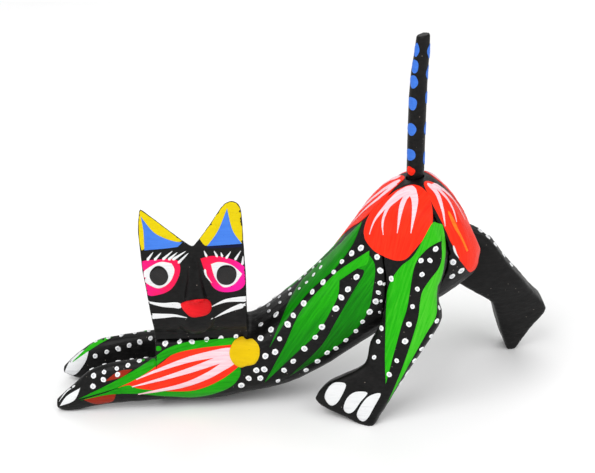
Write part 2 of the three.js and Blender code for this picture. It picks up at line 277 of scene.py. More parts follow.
MAGENTA = brushed_paint(
    "eye_magenta",
    ((0.1, srgb(226, 20, 34)), (0.5, srgb(240, 22, 84)), (0.9, srgb(244, 22, 150))),
    0.2,
)
SCARLET = brushed_paint("mouth_red", ((0.1, srgb(192, 12, 20)), (0.7, srgb(230, 30, 38))), 0.2)
RUST = brushed_paint("rust_red", ((0.1, srgb(110, 22, 6)), (0.8, srgb(168, 44, 18))))


# ---- Wood ----
def finished_mesh(thing):
    """The thing's mesh with its modifiers applied."""
    graph = bpy.context.evaluated_depsgraph_get()
    return bpy.data.meshes.new_from_object(thing.evaluated_get(graph))


def by_socket(place):
    """Whether a place is in or close round the tail's drilled socket."""
    reach, bottom = 5.5, 50
    return math.hypot(place.x - TAIL[0], place.y - TAIL[1]) < reach and place.z > bottom


def whittle(mesh, others):
    """Shallow knife facets cut into the surface, away from glued faces and the tail's socket."""
    glue_margin = 0.9 * MM
    normals = [v.normal.copy() for v in mesh.vertices]
    for vertex, normal in zip(mesh.vertices, normals):
        place = CARVER @ vertex.co
        if by_socket(place) or any(tree.find_nearest(vertex.co, glue_margin)[0] for tree in others):
            continue
        facet = noise.noise(Vector((place.x * 0.09, place.y * 0.22, place.z * 0.16)))
        scrape = noise.noise(Vector((place.x * 0.3, place.y * 0.7 + 9, place.z * 0.7)))
        depth = max(0, 0.12 + 0.18 * facet + 0.07 * scrape)
        vertex.co -= normal * MM * depth
        vertex.co.z = max(vertex.co.z, 0)


def wooden_piece(node):
    """A carved piece: the CAD piece with softened edges and knife marks. The thin tail has no marks."""
    rough = placed("rough", frame["nodes"][node].data.copy())
    weld = rough.modifiers.new("weld", "WELD")
    weld.merge_threshold = 0.00001
    remesh = rough.modifiers.new("remesh", "REMESH")
    remesh.mode = "VOXEL"
    remesh.voxel_size = 0.45 * MM
    soften = rough.modifiers.new("soften", "SMOOTH")
    soften.iterations = 2
    mesh = finished_mesh(rough)
    bpy.data.objects.remove(rough)
    if node != "tail":
        whittle(mesh, [tree for name, tree in CAD_TREES.items() if name != node])
    mesh.shade_smooth()
    mesh.materials.clear()
    mesh.materials.append(BLACK)
    made = placed("carved_" + node, mesh)
    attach(made, "tail" if node == "tail" else "figure")
    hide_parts(node)
    return made


def tree_of(mesh):
    """A mesh's search tree, in its own frame and in metres."""
    mesh.calc_loop_triangles()
    corners = [v.co for v in mesh.vertices]
    return BVHTree.FromPolygons(corners, [tuple(t.vertices) for t in mesh.loop_triangles])


CAD_TREES = {name: tree_of(frame["nodes"][name].data) for name in WOOD}
CARVED = {name: wooden_piece(name) for name in WOOD}


def combined_tree(names):
    """One tree of the finished wood, in the carver's frame."""
    corners, faces = [], []
    for name in names:
        mesh = CARVED[name].data
        mesh.calc_loop_triangles()
        start = len(corners)
        corners += [CARVER @ v.co for v in mesh.vertices]
        faces += [tuple(start + i for i in t.vertices) for t in mesh.loop_triangles]
    return BVHTree.FromPolygons(corners, faces)


BODY_TREE = combined_tree([name for name in WOOD if name != "tail"])
TAIL_TREE = combined_tree(["tail"])

for dowel in DOWELS:
    frame["nodes"][dowel].data.materials.clear()
    frame["nodes"][dowel].data.materials.append(BARE)


# ---- Views: flat layouts that are cast onto the wood ----
class View:
    """A flat layout (s, t) in mm whose points are cast onto the wood along rays. Narrow gaps are bridged."""

    STEEPEST = 0.22  # cosine of the steepest turn away from the view at which paint is still laid
    CLOSEST = 0.12  # between two points of a trimmed outline
    SEARCH = 0.15  # between the rings of places tried when one misses the wood

    def __init__(self, tree, ray, low, high, step=0.25):
        self.tree = tree
        self.ray = ray
        self.low = np.array(low, float)
        self.step = step
        columns, rows = (int((b - a) / step) + 1 for a, b in zip(low, high))
        depth = np.full((columns, rows), np.inf)
        for i in range(columns):
            for j in range(rows):
                hit = tree.ray_cast(*ray(low[0] + i * step, low[1] + j * step))
                if hit[0] is not None:
                    depth[i, j] = hit[3]
        depth = self.spread(self.spread(depth, np.minimum, 3), np.maximum, 3)
        self.depth = self.calmed(depth)
        beyond = self.spread(self.depth, np.minimum, 2)
        beyond = np.where(np.isfinite(beyond), beyond, 1e3)
        slope = np.gradient(np.where(np.isfinite(self.depth), self.depth, beyond), step)
        self.facing = 1 / np.sqrt(1 + slope[0] ** 2 + slope[1] ** 2)

    @staticmethod
    def spread(depth, pick, cells):
        """The nearest or farthest depth within a square of cells."""
        for axis in (0, 1):
            widened = depth
            for shift in range(1, cells + 1):
                for way in (shift, -shift):
                    widened = pick(widened, np.roll(depth, way, axis))
            depth = widened
        return depth

    @staticmethod
    def calmed(depth):
        """A light blur that leaves steps and silhouettes alone."""
        around = [np.roll(np.roll(depth, i, 0), j, 1) for i in (-1, 0, 1) for j in (-1, 0, 1)]
        with np.errstate(invalid="ignore"):
            spread = np.max(around, 0) - np.min(around, 0)
            mean = np.mean(around, 0)
        return np.where(spread < 1.0, mean, depth)

    def sample(self, s, t, grid=None):
        """The depth at (s, t), or another grid's value there, or None off the wood."""
        grid = self.depth if grid is None else grid
        x, y = (s - self.low[0]) / self.step, (t - self.low[1]) / self.step
        i, j = int(math.floor(x)), int(math.floor(y))
        if not (0 <= i < grid.shape[0] - 1 and 0 <= j < grid.shape[1] - 1):
            return None
        cell = grid[i : i + 2, j : j + 2]
        if not np.isfinite(cell).all():
            return None
        u, v = x - i, y - j
        top = cell[0, 0] * (1 - u) + cell[1, 0] * u
        return float(top * (1 - v) + (cell[0, 1] * (1 - u) + cell[1, 1] * u) * v)

    def faces(self, place):
        """Whether the wood at a place is there and doesn't turn away from the view."""
        return self.sample(*place) is not None and self.sample(*place, self.facing) > self.STEEPEST

    def nearest(self, place, reach=3.0):
        """The place itself, or the nearest one within reach where the wood faces the view, or None."""
        if self.faces(place):
            return place
        for ring in range(1, int(reach / self.SEARCH) + 1):
            for k in range(16):
                a = math.pi * k / 8
                near = place + Vector((math.cos(a), math.sin(a))) * ring * self.SEARCH
                if self.faces(near):
                    return near
        return None

    def trimmed(self, shape):
        """An outline pulled in to the wood's silhouette where it runs past it, and evened out there."""
        kept, moved = [], []
        for place in shape:
            near = self.nearest(place)
            if near is not None and (not kept or (near - kept[-1]).length > self.CLOSEST):
                kept.append(near)
                moved.append(near is not place)
        while len(kept) > 3 and (kept[0] - kept[-1]).length < self.CLOSEST:
            kept.pop()
        for _ in range(3):
            for i in range(len(kept)):
                even = (kept[i - 1] + 2 * kept[i] + kept[(i + 1) % len(kept)]) / 4
                if moved[i] and self.faces(even):
                    kept[i] = even
        return kept

    def point(self, s, t, depth):
        """The point at a depth along the ray of (s, t)."""
        start, way = self.ray(s, t)
        return start + way * depth


def side_view(side, elevation, low, high):
    """Looking at the cat's left (-1) or right (1) side from an elevation: s is x, t is up in the view."""
    e = math.radians(elevation)
    up = Vector((0, -side * math.sin(e), math.cos(e)))
    aim = Vector((0, -side * math.cos(e), -math.sin(e)))
    standoff = 150

    def ray(s, t):
        return Vector((s, 0, 0)) + up * t - aim * standoff, aim

    return View(BODY_TREE, ray, low, high)


DEGREE = 0.33  # mm of layout for each degree round the rump


def dome_view():
    """Looking at the rump from all round: the layout's radius is the angle from straight up."""
    standoff = 33

    def ray(s, t):
        reach = math.radians(math.hypot(s, t) / DEGREE)
        turn = math.atan2(t, s)
        way = Vector((math.sin(reach) * math.cos(turn), math.sin(reach) * math.sin(turn), math.cos(reach)))
        return RUMP + way * standoff, -way

    edge = 125 * DEGREE
    return View(BODY_TREE, ray, (-edge, -edge), (edge, edge), 0.3)


def tail_view():
    """Looking at the tail from all round: the layout's width is the way round it in mm."""
    standoff = 8
    half_way_round = 10  # a little more than pi tail radii

    def ray(s, t):
        turn = s / TAIL_RADIUS
        way = Vector((math.cos(turn), math.sin(turn), 0))
        return Vector((TAIL[0], TAIL[1], t)) + way * standoff, -way

    return View(TAIL_TREE, ray, (-half_way_round, TAIL_FOOT), (half_way_round, TAIL_TIP))


LEFT = side_view(-1, 25, (-114, -12), (46, 68))
RIGHT = side_view(1, 25, (-114, -12), (48, 68))
ABOVE = side_view(-1, 90, (-114, -16), (0, 16))
DOME = dome_view()


# ---- Outlines ----
def curve(points, closed=False, step=0.4):
    """A smooth curve through the points, as points about a step apart."""
    corners = [Vector(p) for p in points]
    count = len(corners)
    result = []

    def corner(k):
        return corners[k % count] if closed else corners[min(max(k, 0), count - 1)]

    for i in range(count if closed else count - 1):
        a, b, c, d = (corner(i + k) for k in (-1, 0, 1, 2))
        pieces = max(1, round((c - b).length / step))
        for k in range(pieces):
            u = k / pieces
            bend = (c - a) * u + (2 * a - 5 * b + 4 * c - d) * u * u + (3 * b - a - 3 * c + d) * u**3
            result.append(b + bend * 0.5)
    if not closed:
        result.append(corners[-1])
    return result


def outline(*edges):
    """A closed outline of curves that meet at corners. Each edge runs on to the next one's first point."""
    points = []
    for edge, following in zip(edges, edges[1:] + edges[:1]):
        points += curve([*edge, following[0]])[:-1]
    return points


def blob(s, t, width, height, turn=0.0, wobble=0.06, seed=0):
    """A hand-painted oval, turned by some degrees."""
    rng = random.Random(seed)
    bumps = [(rng.uniform(0, 6.3), rng.uniform(0.4, 1) * wobble) for _ in range(3)]
    c, d = math.cos(math.radians(turn)), math.sin(math.radians(turn))
    sides = 20
    points = []
    for k in range(sides):
        a = 2 * math.pi * k / sides
        r = 1 + sum(size * math.sin((n + 2) * a + start) for n, (start, size) in enumerate(bumps))
        x = 0.5 * width * r * math.cos(a)
        y = 0.5 * height * r * math.sin(a)
        points.append((s + x * c - y * d, t + x * d + y * c))
    return curve(points, True, 0.3)


def tapered(spine, width, blunt=0.12, tip=0.06):
    """A brush stroke that starts blunt and lifts off to a point."""
    thinnest = 0.06
    line = curve(spine, step=0.5)
    last = len(line) - 1
    near, far = [], []
    for i, p in enumerate(line):
        u = i / last
        swell = min(1, (u / blunt) ** 0.5 if u < blunt else 1)
        half = 0.5 * width * swell * max(1 - u, tip) ** 0.75
        way = (line[min(i + 1, last)] - line[max(i - 1, 0)]).normalized()
        out = Vector((-way.y, way.x)) * max(half, thinnest)
        near.append(p + out)
        far.append(p - out)
    return near + far[::-1]


# ---- Paint films ----
class Paint:
    """Collects films of one colour and turns them into one closed-skin piece."""

    LIFT = 0.05  # of the lowest film's edge over the wood
    LAYER = 0.09  # more for each layer up
    RIM = 0.02  # thickness at a film's edge
    SUNK = 0.1  # of a film's underside below the wood's surface
    STEEP = 0.35  # facing below which films get no thicker along the view
    SPAN = 3.2  # longest side of a film's triangle

    def __init__(self, name, material, slot, body="figure"):
        self.name, self.material, self.slot, self.body = name, material, slot, body
        self.corners, self.faces, self.strokes, self.tones = [], [], [], []

    def film(self, view, shape, layer=0, thick=0.08, grain=None, tone=(0.5, 0, 0), dome=0.0):
        """A film over the outline, dome mm higher in its middle.

        grain is the brush's way as two points. tone is (shade, its rise along the grain, its rise across).
        """
        seed = random.Random(f"{self.name}{len(self.corners)}").uniform(0, 50)
        shape = view.trimmed(shape)
        rim = len(shape)
        inside = filling(shape)
        flat, _, triangles, *_ = delaunay_2d_cdt(
            shape + inside, [(i, (i + 1) % rim) for i in range(rim)], [], 1, 1e-5
        )
        at_rim = {i for i, p in enumerate(flat) if min((p - q).length_squared for q in shape) < 1e-4}
        middle = sum((Vector(p) for p in flat), Vector((0, 0))) / len(flat)
        spread = max((Vector(p) - middle).length for p in flat)
        sideways = Vector((spread, 0))
        start, end = (Vector(p) for p in grain or (middle - sideways, middle + sideways))
        way = (end - start).normalized()
        side = Vector((-way.y, way.x))
        tops, bottoms, rows = [], [], []
        for i, p in enumerate(flat):
            depth = view.sample(p.x, p.y)
            if depth is None:
                rows.append(None)
                continue
            facing = max(view.sample(p.x, p.y, view.facing) or 1, self.STEEP)
            along, across = (p - start).dot(way), (p - start).dot(side)
            ridge = 0.012 * noise.noise(Vector((along * 0.3, across * 2.2, seed)))
            swell = dome * max(0, 1 - ((p - middle).length / spread) ** 2)
            height = self.RIM if i in at_rim else thick + ridge + swell
            lift = self.LIFT + self.LAYER * layer + height
            tops.append(self.above_ground(view.point(p.x, p.y, depth - lift / facing)))
            bottoms.append(self.above_ground(view.point(p.x, p.y, depth + self.SUNK / facing)))
            rows.append(len(tops) - 1)
            self.strokes.append((along, across, seed))
            self.tones.append(tone[0] + tone[1] * along / (end - start).length + tone[2] * across / spread)
        kept = [t for t in triangles if all(rows[i] is not None for i in t)]
        kept = [tuple(rows[i] for i in t) for t in kept]
        kept = [t for t in kept if self.is_short(tops, t)]
        self.close(tops, bottoms, kept)

    @staticmethod
    def above_ground(point):
        return Vector((point.x, point.y, max(point.z, 0.01)))

    def is_short(self, points, triangle):
        """Whether a triangle is small enough to lie on the wood without spanning a step."""
        a, b, c = (points[i] for i in triangle)
        return max((a - b).length, (b - c).length, (c - a).length) < self.SPAN

    def close(self, tops, bottoms, triangles):
        """Adds the film's top, its underside and the wall round its edge."""
        start, count = len(self.corners), len(tops)
        self.corners += tops + bottoms
        self.strokes += self.strokes[len(self.strokes) - count :]
        self.tones += self.tones[len(self.tones) - count :]
        edges = {}
        for a, b, c in triangles:
            self.faces.append((start + a, start + b, start + c))
            self.faces.append((start + count + c, start + count + b, start + count + a))
            for one, two in ((a, b), (b, c), (c, a)):
                edges[(one, two)] = True
        for one, two in edges:
            if (two, one) not in edges:
                self.faces.append((start + two, start + one, start + count + one, start + count + two))

    def dot(self, centre, normal, tree, radius, rng):
        """A pressed dot: a raised ring round a shallow dimple."""
        normal = normal.normalized()
        first = normal.orthogonal().normalized()
        second = normal.cross(first)
        stretch, turn = rng.uniform(0.88, 1.14), rng.uniform(0, 6.3)
        sides = 14
        rings = ((0.3, 0.2), (0.55, 0.27), (0.8, 0.28), (0.95, 0.21), (1.0, 0.04))  # (reach, lift)
        tops, bottoms, triangles = [], [], []
        bumps = [rng.uniform(0.93, 1.07) for _ in range(sides)]

        def settle(x, y, lift, tone):
            """Adds a corner over the wood at (x, y) of the dot, and one below it."""
            spot = centre + (first * x + second * y) * radius
            hit = tree.ray_cast(spot + normal * 1.5, -normal, 2.1)
            base = hit[0] if hit[0] is not None else spot
            tops.append(self.above_ground(base + normal * lift))
            bottoms.append(self.above_ground(base - normal * self.SUNK))
            self.strokes.append((x, y, turn))
            self.tones.append(tone)

        settle(0, 0, 0.2, 0)
        for reach, lift in rings:
            for k in range(sides):
                a = 2 * math.pi * k / sides + turn
                r = reach * (1 + (bumps[k] - 1) * reach)
                settle(r * math.cos(a) * stretch, r * math.sin(a) / stretch, lift, reach)
        for k in range(sides):
            n = (k + 1) % sides
            triangles.append((0, 1 + k, 1 + n))
            for ring in range(len(rings) - 1):
                a, b = 1 + ring * sides, 1 + (ring + 1) * sides
                triangles += [(a + k, b + k, b + n), (a + k, b + n, a + n)]
        self.close(tops, bottoms, triangles)

    def dots(self, view, places, radius=0.9):
        """A pressed dot at each place of the view's layout."""
        rng = random.Random(self.name)
        for place in places:
            place = view.nearest(Vector(place))
            if place is not None:
                centre = view.point(place.x, place.y, view.sample(place.x, place.y))
                size = radius * rng.uniform(0.82, 1.15)
                self.dot(centre, outward(view.tree, centre), view.tree, size, rng)

    def finish(self):
        """Turns the films into a piece that rides on its body."""
        mesh = bpy.data.meshes.new(self.name)
        mesh.from_pydata([ROW @ p for p in self.corners], [], self.faces)
        mesh.attributes.new("stroke", "FLOAT_VECTOR", "POINT").data.foreach_set(
            "vector", [v for stroke in self.strokes for v in stroke]
        )
        mesh.attributes.new("tone", "FLOAT", "POINT").data.foreach_set("value", self.tones)
        mesh.materials.append(self.material)
        mesh.shade_smooth()
        mesh.set_sharp_from_angle(angle=math.radians(50))
        made = placed(self.name, mesh)
        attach(made, self.body)


def outward(tree, centre, reach=0.6):
    """The wood's outward direction round a place on it."""
    total = Vector()
    for axis in range(3):
        for way in (reach, -reach):
            near = centre.copy()
            near[axis] += way
            total += tree.find_nearest(near)[1]
    return total.normalized()


def filling(shape, space=0.5):
    """Points inside the outline, in a staggered grid that stays clear of the edge."""
    corners = np.array([(p.x, p.y) for p in shape])
    low, high = corners.min(0), corners.max(0)
    grid = []
    for j, y in enumerate(np.arange(low[1] + space / 2, high[1], space * 0.87)):
        shift = space / 2 if j % 2 else 0
        grid += [(x + shift, y) for x in np.arange(low[0], high[0], space)]
    if not grid:
        return []
    points = np.array(grid)
    a, b = corners, np.roll(corners, -1, 0)
    x, y = points[:, :1], points[:, 1:]
    crosses = (a[:, 1] > y) != (b[:, 1] > y)
    with np.errstate(divide="ignore", invalid="ignore"):
        where = (b[:, 0] - a[:, 0]) * (y - a[:, 1]) / (b[:, 1] - a[:, 1]) + a[:, 0]
    inside = (crosses & (x < where)).sum(1) % 2 == 1
    clear = np.sqrt(((points[:, None] - corners[None]) ** 2).sum(2).min(1)) > 0.45 * space
    return [Vector(p) for p in points[inside & clear]]


# ---- Painted leaves and flowers ----
def torso_leaves(view, side, drop):
    """Three split leaves that sweep up the flank from the chest to the flower on the rump."""
    leaves = Paint(side + "_torso_leaves", GREEN, "green_paint")
    middle = outline(
        [(-48.5, 2.8), (-42.4, 14.2), (-37.4, 24.6), (-30.4, 32.5), (-25.3, 37.3)],
        [(-17, 42.8), (-17.6, 39), (-20.4, 37.6)],
        [(-25.7, 34), (-26.2, 29.4), (-28.5, 24.5), (-32.4, 18), (-39.4, 11.4)],
    )
    leaves.film(view, middle, 1, grain=((-48, 3), (-22, 40)), tone=(0.2, 0.38, 0.25))
    rear = outline(
        [(-17.6, 42.2), (-15.4, 38.2), (-15.9, 31), (-17, 25), (-20.6, 18.8), (-28.7, 11.9)],
        [(-41, 4.4), (-31.5, 13.5), (-27, 21), (-22.6, 29)],
        [(-18.9, 35.2), (-18.6, 37), (-20.5, 38)],
    )
    leaves.film(view, rear, 0, grain=((-40, 5), (-16, 40)), tone=(0, 0.4, -0.1))
    front = outline(
        [(-46.9, 13.9), (-43.7, 21.1), (-39.9, 29), (-34.4, 36.2 - drop), (-27.4, 42.6 - drop)],
        [(-18.5, 51.6 - drop / 2), (-21.5, 44.8), (-26.8, 37.6), (-33.8, 31.4), (-40.9, 23.2)],
    )
    leaves.film(view, front, 0, grain=((-47, 14), (-19, 51)), tone=(0.22, 0.1, -0.2))
    leaves.finish()


def torso_dots(view, side):
    """White dots that edge the leaves and scatter over the chest, with finer ones along the spine."""
    places = [
        (-41.3, 20.9), (-39.5, 23.6), (-36.3, 27.2), (-33.6, 30.6), (-30.4, 33.5), (-27.2, 36.5),
        (-24.7, 39.6), (-21.9, 42.1), (-19.3, 43.6), (-43.8, 16.5), (-45.2, 12.5), (-48.2, 11.3),
        (-46.3, 19.3), (-49.3, 20.7), (-44.6, 23.7), (-49.5, 16.8), (-20.7, 35), (-23.2, 31.3),
        (-25.2, 28.9), (-26.8, 25.5), (-31, 20), (-33, 16.8), (-36.3, 13.3), (-39.7, 9.4), (-42.5, 6.6),
        (-44.4, 3.2), (-16.6, 24.3), (-18.7, 21.3), (-20.6, 18.4), (-23.6, 15.6), (-26.6, 13.1),
        (-29.3, 11.8), (-32.2, 9.1), (-35.7, 6.3), (-53.4, 4.4), (-49.8, 4.3), (-51, 6.9), (-48.6, 7.1),
        (-55.7, 2.2), (-14.8, 40.9), (-13.8, 36.8), (-13.8, 33.1), (-14.2, 30.2), (-14.9, 27.5),
    ]
    dots = Paint(side + "_torso_dots", DOT, "white_paint")
    dots.dots(view, places)
    ridge = [
        (-46.6, 24.6), (-43.2, 27.2), (-40, 29.8), (-37.2, 34.2), (-35, 36), (-32.8, 37.7),
        (-30.6, 39.5),
    ]
    dots.dots(view, ridge, 0.6)
    dots.finish()


def foreleg_flower(view, side):
    """A long red bud between green sepals down the foreleg, with a yellow heart at the shoulder."""
    sepals = Paint(side + "_foreleg_sepals", GREEN, "green_paint")
    upper = outline(
        [(-56.6, 17.3), (-66.1, 16.8), (-72.1, 16.3), (-78.1, 14.4), (-84.5, 10), (-94.2, 4.6)],
        [(-105.6, -0.9), (-96.4, 1.6), (-90.8, 3.6), (-84, 7.2), (-76.7, 12.4), (-68, 14.4)],
        [(-56.6, 15.2)],
    )
    sepals.film(view, upper, 1, grain=((-105, 0), (-57, 16)), tone=(0.4, 0.1, 0))
    lower = outline(
        [(-105, -1.3), (-97.4, 0.9), (-90.5, 3.2), (-86.8, 2), (-76.7, 0.8), (-69, 1.2), (-61.5, 4.4)],
        [(-55.9, 8.6), (-56.2, 5), (-60, 1.2), (-69.2, -1.4), (-79.3, -0.7), (-89.4, 0.5), (-97, 0.2)],
    )
    sepals.film(view, lower, 1, grain=((-105, 0), (-57, 4)), tone=(0.4, 0.1, 0))
    sepals.finish()
    bud = Paint(side + "_foreleg_bud", RED, "red_paint")
    petal = outline(
        [(-56, 15.8), (-66.1, 15.1), (-74.7, 13.5), (-81.4, 9)],
        [(-93.5, 2.6), (-86.8, 1.4), (-76.7, 0.2), (-69.1, 0.3), (-62.5, 2.6)],
        [(-56, 8.1)],
    )
    bud.film(view, petal, 0, grain=((-93, 2), (-56, 12)), tone=(0.6, 0.0, 0.1))
    bud.finish()
    tines = Paint(side + "_foreleg_tines", PALE, "pink_paint")
    tines.film(view, tapered([(-56.5, 13.2), (-62, 12.7), (-71, 11), (-80.5, 7.9), (-87.6, 5)], 2.9), 2)
    tines.film(view, tapered([(-56.5, 11.9), (-62, 10.6), (-70.3, 7.8), (-80.5, 4.8), (-89, 2.7)], 2.7), 3)
    tines.film(view, tapered([(-56.5, 10.8), (-60.5, 8.8), (-66, 5.6), (-74, 2.6), (-87.3, 0.2)], 2.8), 2)
    tines.finish()
    heart = Paint(side + "_foreleg_heart", YELLOW, "yellow_paint")
    rim = [
        (-59.1, 12.8), (-57.8, 16), (-55.3, 17.6), (-53.9, 16.5), (-52, 16.6), (-50.2, 14.6),
        (-50, 11.6), (-51.4, 9), (-54, 8.4), (-56, 8), (-58.3, 9.8),
    ]
    top = 17.6 if side == "left" else 15
    rim = [(s, min(t, top)) for s, t in rim]
    heart.film(view, curve(rim, True), 4, 0.2, grain=((-59, 13), (-50, 12)), tone=(0.5, 0.1, 0))
    heart.finish()
    rust = Paint(side + "_foreleg_rust", RUST, "red_paint")
    rust.film(view, outline([(-97.2, 4.6), (-93, 7.6)], [(-88.6, 8.2), (-92, 5.8)]), 0)
    rust.film(view, outline([(-104, -1.2), (-99, 0.4)], [(-94, 0.8), (-95.4, -2), (-100.4, -2.8)]), 0)
    rust.finish()


def foreleg_dots(view, side):
    """Dots down the foreleg, a few green ones at the elbow, and the paw's claw."""
    dots = Paint(side + "_foreleg_dots", DOT, "white_paint")
    places = [
        (-78.3, 16.2), (-74, 16.6), (-70.3, 16.5), (-65.9, 17), (-61.6, 17.2), (-57, 17.7),
        (-86.5, 10.6), (-90, 9.4), (-93.4, 8.5), (-97.3, 7.5), (-100.6, 6.4), (-93.2, 6.7),
        (-97.6, 5.2), (-100.9, 3.1),
    ]
    dots.dots(view, places, 0.8)
    middle = -9.2 if side == "left" else 7.6
    dots.dots(ABOVE, [(x, middle) for x in (-84.5, -89, -93.2, -97.4, -101.4)], 0.7)
    dots.finish()
    green = Paint(side + "_foreleg_green_dots", GREEN, "green_paint")
    green.film(view, blob(-80.4, 14.6, 1.7, 1.6, seed=3), 1)
    green.film(view, blob(-85.5, 11, 1.2, 1.1, seed=4), 1)
    green.finish()
    claw = Paint(side + "_forepaw_claw", WHITE, "white_paint")
    nail = outline([(-111.7, -3.2), (-109.3, 0)], [(-104.9, 2.6), (-107, -1.3)])
    claw.film(view, nail, 0)
    claw.film(view, tapered([(-106.6, 3.3), (-109.4, 1.4), (-111.9, -1.8)], 0.7), 0)
    claw.finish()


def round_rump(*places):
    """Layout points for (turn, reach) in degrees: the turn round the tail and the angle down from it."""
    return [
        (reach * DEGREE * math.cos(math.radians(turn)), reach * DEGREE * math.sin(math.radians(turn)))
        for turn, reach in places
    ]


def rump_flower():
    """Five red petals that hang over the rump from the foot of the tail, each with pale tines, and a painted
    highlight in orange and white on one petal's edge.
    """
    near = round_rump(
        (-119, 17), (-141, 22), (-154, 32), (-162, 48), (-164, 62), (-156, 77), (-142, 86), (-129, 92),
        (-119, 94), (-108, 90), (-95, 73), (-84, 58), (-80, 42), (-83, 27), (-96, 19),
    )
    right = round_rump(
        (-85, 15), (-82, 29), (-76, 43), (-68, 62), (-61, 80), (-52, 98), (-36, 113),
        (-16, 108), (-2, 92), (0, 70), (-6, 40), (-24, 20), (-58, 12),
    )
    far = round_rump(
        (118, 17), (127, 30), (131, 48), (132, 64), (127, 80), (112, 90),
        (98, 92), (84, 84), (74, 66), (70, 46), (76, 28), (94, 18),
    )
    back = round_rump(
        (78, 15), (66, 26), (60, 42), (54, 58), (42, 68), (24, 72),
        (10, 66), (4, 46), (10, 28), (30, 16), (54, 12),
    )
    ridge = round_rump(
        (-176, 14), (-163, 22), (-158, 34), (-158, 44), (-165, 60), (-172, 72), (176, 84), (168, 96),
        (163, 105), (154, 98), (147, 80), (142, 56), (141, 36), (150, 18),
    )
    petals = Paint("rump_petals", RED, "red_paint")
    flat_tone = (0.55, 0, 0)
    for shape in (near, right, far, back):
        hem = shape[len(shape) // 2]
        petals.film(DOME, curve(shape, True), 0, 0.11, grain=((0, 0), hem), tone=flat_tone)
    petals.film(DOME, curve(ridge, True), 1, 0.11, grain=((0, 0), (-30, 8)), tone=flat_tone)
    petals.finish()
    tines = Paint("rump_tines", PALE, "pink_paint")
    strokes = [
        ([(-112, 20), (-139, 30), (-147, 46), (-151, 62), (-149, 75)], 2.6),
        ([(-120, 20), (-135, 34), (-142, 46), (-140, 60), (-135, 71)], 2.6),
        ([(-118, 22), (-121, 32), (-121, 45), (-121, 66)], 2.4),
        ([(-122, 20), (-112, 26), (-105, 34), (-104, 46), (-106, 64)], 2.8),
        ([(-72, 15), (-63, 26), (-66, 42), (-68, 59)], 2.2),
        ([(-58, 16), (-46, 28), (-46, 42), (-52, 58)], 2.2),
        ([(-50, 16), (-26, 28), (-22, 44), (-28, 62)], 2.2),
        ([(112, 20), (120, 32), (124, 48), (120, 68)], 2.2),
        ([(106, 20), (106, 34), (108, 50), (108, 70)], 2.2),
        ([(100, 20), (92, 32), (90, 48), (94, 66)], 2.4),
        ([(66, 18), (52, 28), (46, 44), (44, 56)], 2.2),
        ([(52, 16), (32, 28), (26, 42), (28, 58)], 2.2),
    ]
    ridge_strokes = [
        ([(-172, 18), (178, 34), (170, 54), (165, 80)], 2.6),
        ([(-166, 22), (-170, 38), (-178, 56), (170, 84)], 2.0),
        ([(160, 18), (152, 30), (152, 50), (157, 70)], 2.2),
    ]
    for spine, width in strokes:
        tines.film(DOME, tapered(round_rump(*spine), width), 2)
    for spine, width in ridge_strokes:
        tines.film(DOME, tapered(round_rump(*spine), width), 3)
    tines.finish()
    # A painted highlight: a lighter orange stroke along the left edge of the rump's right petal.
    orange_highlight = Paint("rump_orange", PAINTED_HIGHLIGHT_ORANGE, "red_paint")
    orange_highlight.film(LEFT, tapered([(6, 54), (7.2, 51.4), (8.4, 48.7), (10, 46), (12, 42)], 1.5, 0.3, 0.3), 2)
    orange_highlight.finish()
    # A painted highlight: a white sliver at the lower left edge of the rump's right petal.
    white_highlight = Paint("rump_white_touch", WHITE, "white_paint")
    white_highlight.film(LEFT, tapered([(7.4, 43.8), (8, 42.2), (8.6, 41), (9.4, 40)], 0.9, 0.3), 1)
    white_highlight.finish()


